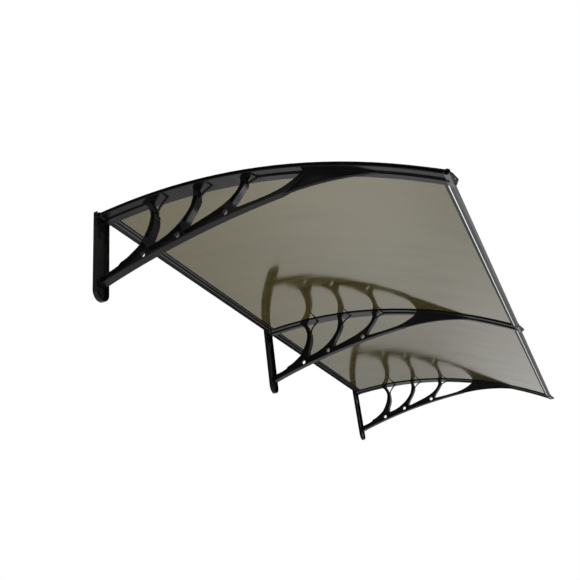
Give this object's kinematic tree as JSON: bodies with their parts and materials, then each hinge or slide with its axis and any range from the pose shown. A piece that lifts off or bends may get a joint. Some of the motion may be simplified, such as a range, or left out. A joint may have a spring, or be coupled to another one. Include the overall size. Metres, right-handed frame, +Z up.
{
  "type": "door canopy",
  "caption": "Wall-mounted door canopy: curved translucent bronze sheets in black moulded brackets with openwork struts, joined by aluminium edge rails.",
  "frame": {"origin": "on the back face of the middle bracket's wall plate, at half its height", "axes": "+X along the wall, to the right as seen from in front; +Y into the wall, so that the canopy projects towards -Y; +Z up"},
  "size_m": [2.0528, 0.9375, 0.274],
  "materials": {
    "black_plastic": "black moulded polypropylene, satin",
    "bronze_sheet": "bronze-tinted see-through polycarbonate, glossy",
    "aluminium": "grey anodised extrusion",
    "zinc_steel": "zinc-plated self-tapping screws"
  },
  "bodies": {
    "root": {"bracket_left": "black_plastic", "bracket_middle": "black_plastic", "bracket_right": "black_plastic", "sheet_left": "bronze_sheet", "sheet_right": "bronze_sheet", "front_rail_left": "aluminium", "front_rail_right": "aluminium", "wall_rail_left": "aluminium", "wall_rail_right": "aluminium", "front_screw_left": "zinc_steel", "front_screw_right": "zinc_steel", "wall_screw_left": "zinc_steel", "wall_screw_right": "zinc_steel", "sheet_screw_left": "zinc_steel", "sheet_screw_right": "zinc_steel"}
  },
  "joints": []
}
